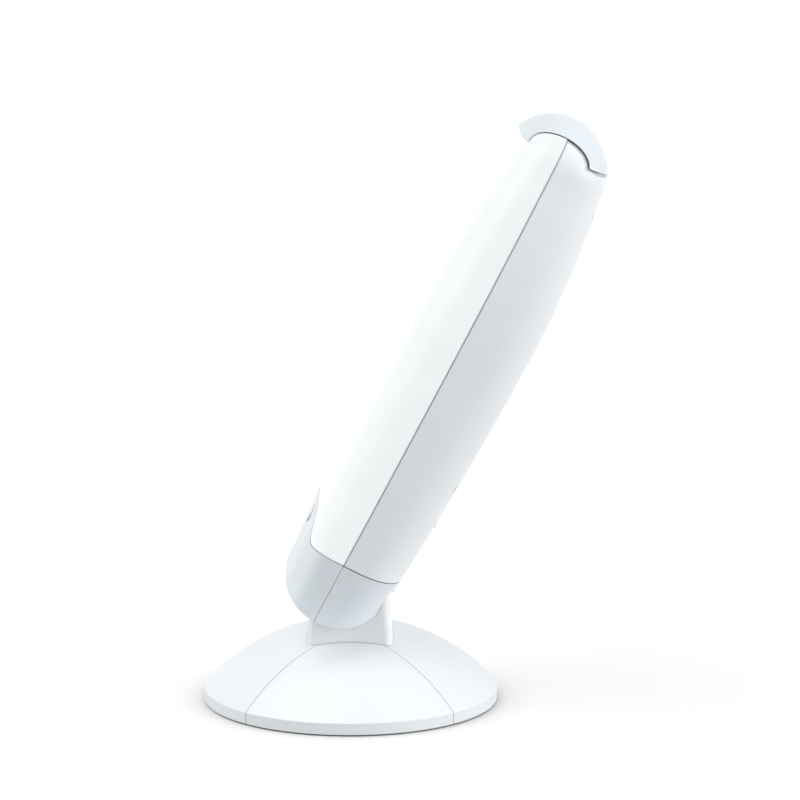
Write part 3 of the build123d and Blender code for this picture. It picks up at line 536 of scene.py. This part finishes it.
@dataclass
class CrossScrew:
    """A cross-recessed screw, drawn upright with its head on top at z = 0."""

    head: ScrewHead
    head_radius: float = 0.003
    shank_radius: float = 0.00145
    head_height: float = 0.0024
    length: float = 0.0095
    recess_reach: float = 0.0019
    recess_width: float = 0.0007
    recess_depth: float = 0.0011
    recess_taper: float = 0.5
    tip_taper: float = 0.8
    crown: float = 0.45
    crown_steps: int = 5
    sides: int = 40

    def build(self) -> bpy.types.Object:
        """Model one screw.

        Returns:
            The screw, with its axis along z and its top at the origin.
        """
        deselect()
        bpy.ops.mesh.primitive_cylinder_add(
            vertices=self.sides, radius=self.head_radius, depth=self.head_height,
            location=(0.0, 0.0, -self.head_height / 2))
        screw = bpy.context.active_object
        apply_place(screw)
        bpy.ops.object.mode_set(mode="EDIT")
        bpy.ops.mesh.select_mode(type="FACE")
        self._select_flat(screw, -self.head_height)
        if self.head is ScrewHead.COUNTERSUNK:
            ratio = self.shank_radius / self.head_radius
            self._taper(ratio, -self.head_height)
        else:
            bpy.ops.mesh.inset(thickness=self.head_radius - self.shank_radius)
        bpy.ops.mesh.extrude_region_move(
            TRANSFORM_OT_translate={"value": (0.0, 0.0, self.head_height - self.length)})
        self._taper(self.tip_taper, -self.length)
        bpy.ops.object.mode_set(mode="OBJECT")
        if self.head is ScrewHead.PAN:
            self._round_top(screw)
        self._cut_recess(screw)
        smooth(screw)
        return screw

    @staticmethod
    def _taper(ratio: float, height: float) -> None:
        """Shrink the selected end towards the axis, in edit mode."""
        bpy.ops.transform.resize(value=(ratio, ratio, 1.0), center_override=(0.0, 0.0, height))

    @staticmethod
    def _select_flat(screw: bpy.types.Object, height: float) -> None:
        """Select the flat faces at one height, in edit mode."""
        bpy.ops.mesh.select_all(action="DESELECT")
        bpy.ops.object.mode_set(mode="OBJECT")
        for polygon in screw.data.polygons:
            flat = abs(polygon.normal.z) > 0.99
            polygon.select = flat and abs(polygon.center.z - height) < LEVEL_GAP
        bpy.ops.object.mode_set(mode="EDIT")

    def _round_top(self, screw: bpy.types.Object) -> None:
        """Round the rim of a pan head."""
        bpy.ops.object.mode_set(mode="EDIT")
        self._select_flat(screw, 0.0)
        bpy.ops.mesh.bevel(offset=self.head_height * self.crown, segments=self.crown_steps,
                           profile=0.5, affect="EDGES")
        bpy.ops.object.mode_set(mode="OBJECT")

    def _cut_recess(self, screw: bpy.types.Object) -> None:
        """Cut the tapered cross recess into the head."""
        bars = []
        for turn in (0.0, math.pi / 2):
            deselect()
            bpy.ops.mesh.primitive_cube_add(size=1.0, location=(0.0, 0.0, 0.0),
                                            rotation=(0.0, 0.0, turn))
            bar = bpy.context.active_object
            bar.scale = (2 * self.recess_reach, self.recess_width, 2 * self.recess_depth)
            apply_place(bar)
            bpy.ops.object.mode_set(mode="EDIT")
            self._select_flat(bar, -self.recess_depth)
            self._taper(self.recess_taper, -self.recess_depth)
            bpy.ops.object.mode_set(mode="OBJECT")
            bars.append(bar)
        for bar in bars:
            select_only(screw)
            cut = screw.modifiers.new("recess", "BOOLEAN")
            cut.operation = "DIFFERENCE"
            cut.solver = "EXACT"
            cut.object = bar
            bpy.ops.object.modifier_apply(modifier=cut.name)
            bpy.data.objects.remove(bar)


def screw_set(name: str, node: str, pattern: bpy.types.Object,
              axis: Vector) -> bpy.types.Object:
    """Place a copy of a screw on each screw of a CAD node and join the copies.

    Args:
        name: name of the joined piece.
        node: the CAD node whose screws are followed.
        pattern: the screw, upright with its top at the origin; it is used up.
        axis: the way the heads face.

    Returns:
        The joined screws.
    """
    copies = []
    turn = Vector((0.0, 0.0, 1.0)).rotation_difference(axis).to_matrix().to_4x4()
    for number, corners in enumerate(islands(bpy.data.objects[node].data)):
        top = max(corner.dot(axis) for corner in corners)
        middle = sum(corners, Vector()) / len(corners)
        rim = [corner for corner in corners if corner.dot(axis) > top - LEVEL_GAP]
        centre = sum(rim, Vector()) / len(rim) if len(rim) > RING_CORNERS else middle
        seat = centre + axis * (top - centre.dot(axis))
        copy = pattern.copy()
        copy.data = pattern.data.copy()
        bpy.context.scene.collection.objects.link(copy)
        spin = Matrix.Rotation(math.radians(SPIN_STEP * number), 4, "Z")
        copy.data.transform(Matrix.Translation(seat) @ turn @ spin)
        copies.append(copy)
    bpy.data.objects.remove(pattern)
    select_only(copies[0])
    for copy in copies[1:]:
        copy.select_set(True)
    bpy.ops.object.join()
    copies[0].name = name
    return copies[0]


# ---- sub-assemblies ---------------------------------------------------------------------
@dataclass
class Assembly:
    """A group of CAD nodes that is dressed together, with any pieces modelled for it."""

    body: str
    slots: dict[str, tuple[str, ...]] = field(default_factory=dict)

    def dress(self, nodes: dict[str, bpy.types.Object],
              finishes: dict[str, bpy.types.Material]) -> None:
        """Give each CAD node its finish.

        Args:
            nodes: the CAD nodes.
            finishes: the materials, by slot.
        """
        for slot, names in self.slots.items():
            for name in names:
                wear(nodes[name], finishes[slot])
                LOG.info("dressed %s as %s", name, slot)

    def build(self, finishes: dict[str, bpy.types.Material]) -> None:
        """Model the assembly's own pieces; most have none."""

    def adopt(self, piece: bpy.types.Object, slot: str, material: bpy.types.Material,
              *replaced: str) -> None:
        """Finish a modelled piece, and let it ride and stand for its CAD nodes.

        Args:
            piece: the piece.
            slot: not used.
            material: its material.
            replaced: the CAD nodes it stands for.
        """
        wear(piece, material)
        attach(piece, self.body)
        if replaced:
            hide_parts(*replaced)
        LOG.info("modelled %s", piece.name)


def wear(piece: bpy.types.Object, material: bpy.types.Material) -> None:
    """Put one material on a piece."""
    piece.data.materials.clear()
    piece.data.materials.append(material)


@dataclass
class Foot(Assembly):
    """The round weighted foot with its neck."""

    body: str = "root"
    countersink: float = 0.0015
    slots: dict[str, tuple[str, ...]] = field(default_factory=lambda: {
        "white_shell": ("base_bridge", "far_side_cover", "near_side_cover"),
        "inner_plastic": ("base_plate",),
        "foot_rubber": ("rubber_foot_ring",),
        "cast_weight": ("ballast_weight",),
        "bush_plastic": ("knuckle_bushes",)})

    def build(self, finishes: dict[str, bpy.types.Material]) -> None:
        """Model the countersunk screws of the underside."""
        down = Vector((0.0, 0.0, -1.0))
        sets = {"plate_cross_screws": "base_screws", "weight_cross_screws": "weight_screws"}
        for name, node in sets.items():
            screw = CrossScrew(ScrewHead.COUNTERSUNK, head_height=self.countersink).build()
            piece = screw_set(name, node, screw, down)
            self.adopt(piece, "zinc_steel", finishes["zinc_steel"], node)


@dataclass
class Hinge(Assembly):
    """Yoke, pin and clamping hardware of the tilt hinge."""

    body: str = "head"
    slots: dict[str, tuple[str, ...]] = field(default_factory=lambda: {
        "zinc_steel": ("hinge_yoke", "disc_springs", "pivot_nuts"),
        "bright_steel": ("pivot_pin",),
        "bush_plastic": ("friction_washers",)})


@dataclass
class Head(Assembly):
    """Shells, caps and seam of the tilting head."""

    body: str = "head"
    screw_length: float = 0.0116
    slots: dict[str, tuple[str, ...]] = field(default_factory=lambda: {
        "white_shell": ("back_shell",),
        "opal_diffuser": ("front_diffuser",),
        "grey_shell": ("end_cap_front", "end_cap_back", "top_cap"),
        "grey_seal": ("seam_seal",)})

    def build(self, finishes: dict[str, bpy.types.Material]) -> None:
        """Model the pan-head screws of the back."""
        back = Vector((math.cos(REST_LEAN), 0.0, -math.sin(REST_LEAN)))
        screw = CrossScrew(ScrewHead.PAN, length=self.screw_length).build()
        piece = screw_set("back_cross_screws", "case_screws", screw, back)
        self.adopt(piece, "zinc_steel", finishes["zinc_steel"], "case_screws")


@dataclass
class LightSource(Assembly):
    """Chassis, reflector and the two twin-leg lamps."""

    body: str = "head"
    slots: dict[str, tuple[str, ...]] = field(default_factory=lambda: {
        "white_sheet": ("chassis_plate",),
        "polished_sheet": ("reflector",),
        "inner_plastic": ("far_lampholder", "near_lampholder", "far_tube_base", "near_tube_base"),
        "lamp_glass": ("far_lamp_tube", "near_lamp_tube"),
        "zinc_steel": ("tube_clips",)})


@dataclass
class Supply(Assembly):
    """Ballast, inlet and switch."""

    body: str = "head"
    slots: dict[str, tuple[str, ...]] = field(default_factory=lambda: {
        "ballast_can": ("ballast_unit",),
        "black_plastic": ("inlet_socket",),
        "pin_brass": ("inlet_pins",),
        "inner_plastic": ("switch_body",)})


@dataclass
class Button(Assembly):
    """The push button in the end cap."""

    body: str = "power_button"
    slots: dict[str, tuple[str, ...]] = field(default_factory=lambda: {
        "button_plastic": ("power_button",)})


# ---- studio -----------------------------------------------------------------------------
@dataclass
class SoftLamp:
    """A distant soft lamp."""

    name: str
    towards: Colour
    level: float
    colour: Colour
    spread: float

    def build(self) -> None:
        """Add the lamp; level 1 lights a white surface that faces it to white."""
        lamp = bpy.data.lights.new(self.name, "SUN")
        lamp.energy = self.level * math.pi
        lamp.color = self.colour
        lamp.angle = math.radians(self.spread)
        stand = bpy.data.objects.new(self.name, lamp)
        stand.rotation_mode = "QUATERNION"
        stand.rotation_quaternion = Vector(self.towards).to_track_quat("Z", "Y")
        bpy.context.scene.collection.objects.link(stand)


@dataclass
class Studio:
    """Pale floor, soft light and the camera."""

    camera_place: Colour = (0.0386, -3.0502, 0.8230)
    camera_pitch: float = math.radians(90.0 - 10.85)
    lens: float = 180.0
    sensor: float = 36.0
    sight: float = 60.0
    floor_reach: float = 14.0
    paper: float = 0.4
    paper_tone: float = 0.995
    floor_colour: Colour = (0.36, 0.35, 0.345)
    floor_lift: float = 0.70
    painted_contact_shadow_reach: float = 0.035
    room_colour: Colour = (0.86, 0.95, 1.0)
    room_level: float = 0.4
    lamps: tuple[SoftLamp, ...] = (
        SoftLamp("left_lamp", (-0.99, -0.1, 0.12), 0.27, (1.0, 0.995, 0.985), 60.0),
        SoftLamp("high_left_lamp", (-0.55, -0.2, 0.8), 0.50, (1.0, 0.995, 0.985), 60.0),
        SoftLamp("right_lamp", (0.96, -0.25, 0.03), 0.96, (1.0, 1.0, 1.0), 60.0),
        SoftLamp("right_front_lamp", (0.7, -0.7, 0.15), 0.24, (0.97, 0.99, 1.0), 60.0))

    def build(self) -> None:
        """Set up floor, room light, lamps and camera."""
        self._floor()
        self._room()
        for lamp in self.lamps:
            lamp.build()
        self._camera()

    @staticmethod
    def _seen(recipe: Recipe) -> Signal:
        """1 for rays that show the surroundings: camera, glossy and transmission rays."""
        seen = recipe.node("ShaderNodeLightPath", output="Is Camera Ray")
        for kind in ("Is Glossy Ray", "Is Transmission Ray"):
            seen = seen.at_least(recipe.node("ShaderNodeLightPath", output=kind))
        return seen

    def _floor(self) -> None:
        """A wide pale floor that keeps the lamp's cast shadow and has a painted contact shadow
        round its foot.
        """
        deselect()
        bpy.ops.mesh.primitive_plane_add(size=2 * self.floor_reach, location=(0.0, 0.0, 0.0))
        floor = bpy.context.active_object
        floor.name = "floor"
        apply_place(floor)
        material = bpy.data.materials.new("pale_floor")
        material.use_nodes = True
        recipe = Recipe(material.node_tree)
        paper = recipe.noise(self.paper, 2.0)
        colour = recipe.tint(paper, self.floor_colour, shade(self.floor_colour, self.paper_tone))
        matt = recipe.node("ShaderNodeBsdfDiffuse", {}, {"Color": colour})
        # painted contact shadow: the white lift fades where the lamp's foot and skirt are near
        white_lift_with_painted_shadow = recipe.openness(self.painted_contact_shadow_reach) * self.floor_lift
        glow = recipe.node("ShaderNodeEmission", {}, {
            "Color": WHITE, "Strength": self._seen(recipe) * white_lift_with_painted_shadow})
        recipe.surface(recipe.node("ShaderNodeAddShader", {}, {0: matt, 1: glow}))
        wear(floor, material)

    def _room(self) -> None:
        """Even light from all round, seen as white."""
        world = bpy.data.worlds.new("room")
        bpy.context.scene.world = world
        world.use_nodes = True
        recipe = Recipe(world.node_tree)
        light = recipe.node("ShaderNodeBackground", {}, {
            "Color": (*self.room_colour, 1.0), "Strength": self.room_level})
        white = recipe.node("ShaderNodeBackground", {}, {"Color": WHITE, "Strength": 1.0})
        mixed = recipe.node("ShaderNodeMixShader", {}, {0: self._seen(recipe), 1: light, 2: white})
        recipe.surface(mixed, "ShaderNodeOutputWorld")

    def _camera(self) -> None:
        """The camera, level from side to side and looking slightly down."""
        lens = bpy.data.cameras.new("camera")
        lens.lens = self.lens
        lens.sensor_width = self.sensor
        lens.clip_end = self.sight
        camera = bpy.data.objects.new("camera", lens)
        camera.location = self.camera_place
        camera.rotation_euler = (self.camera_pitch, 0.0, 0.0)
        bpy.context.scene.collection.objects.link(camera)
        bpy.context.scene.camera = camera
        bpy.context.scene.view_settings.view_transform = "Standard"


def main() -> None:
    """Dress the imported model, model its extra pieces and set up the studio."""
    logging.basicConfig(level=logging.INFO, format="%(message)s")
    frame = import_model()
    Studio().build()
    finishes = {slot: finish.make() for slot, finish in FINISHES.items()}
    for assembly in (Foot(), Hinge(), Head(), LightSource(), Supply(), Button()):
        assembly.dress(frame["nodes"], finishes)
        assembly.build(finishes)


if __name__ == "__main__":
    main()
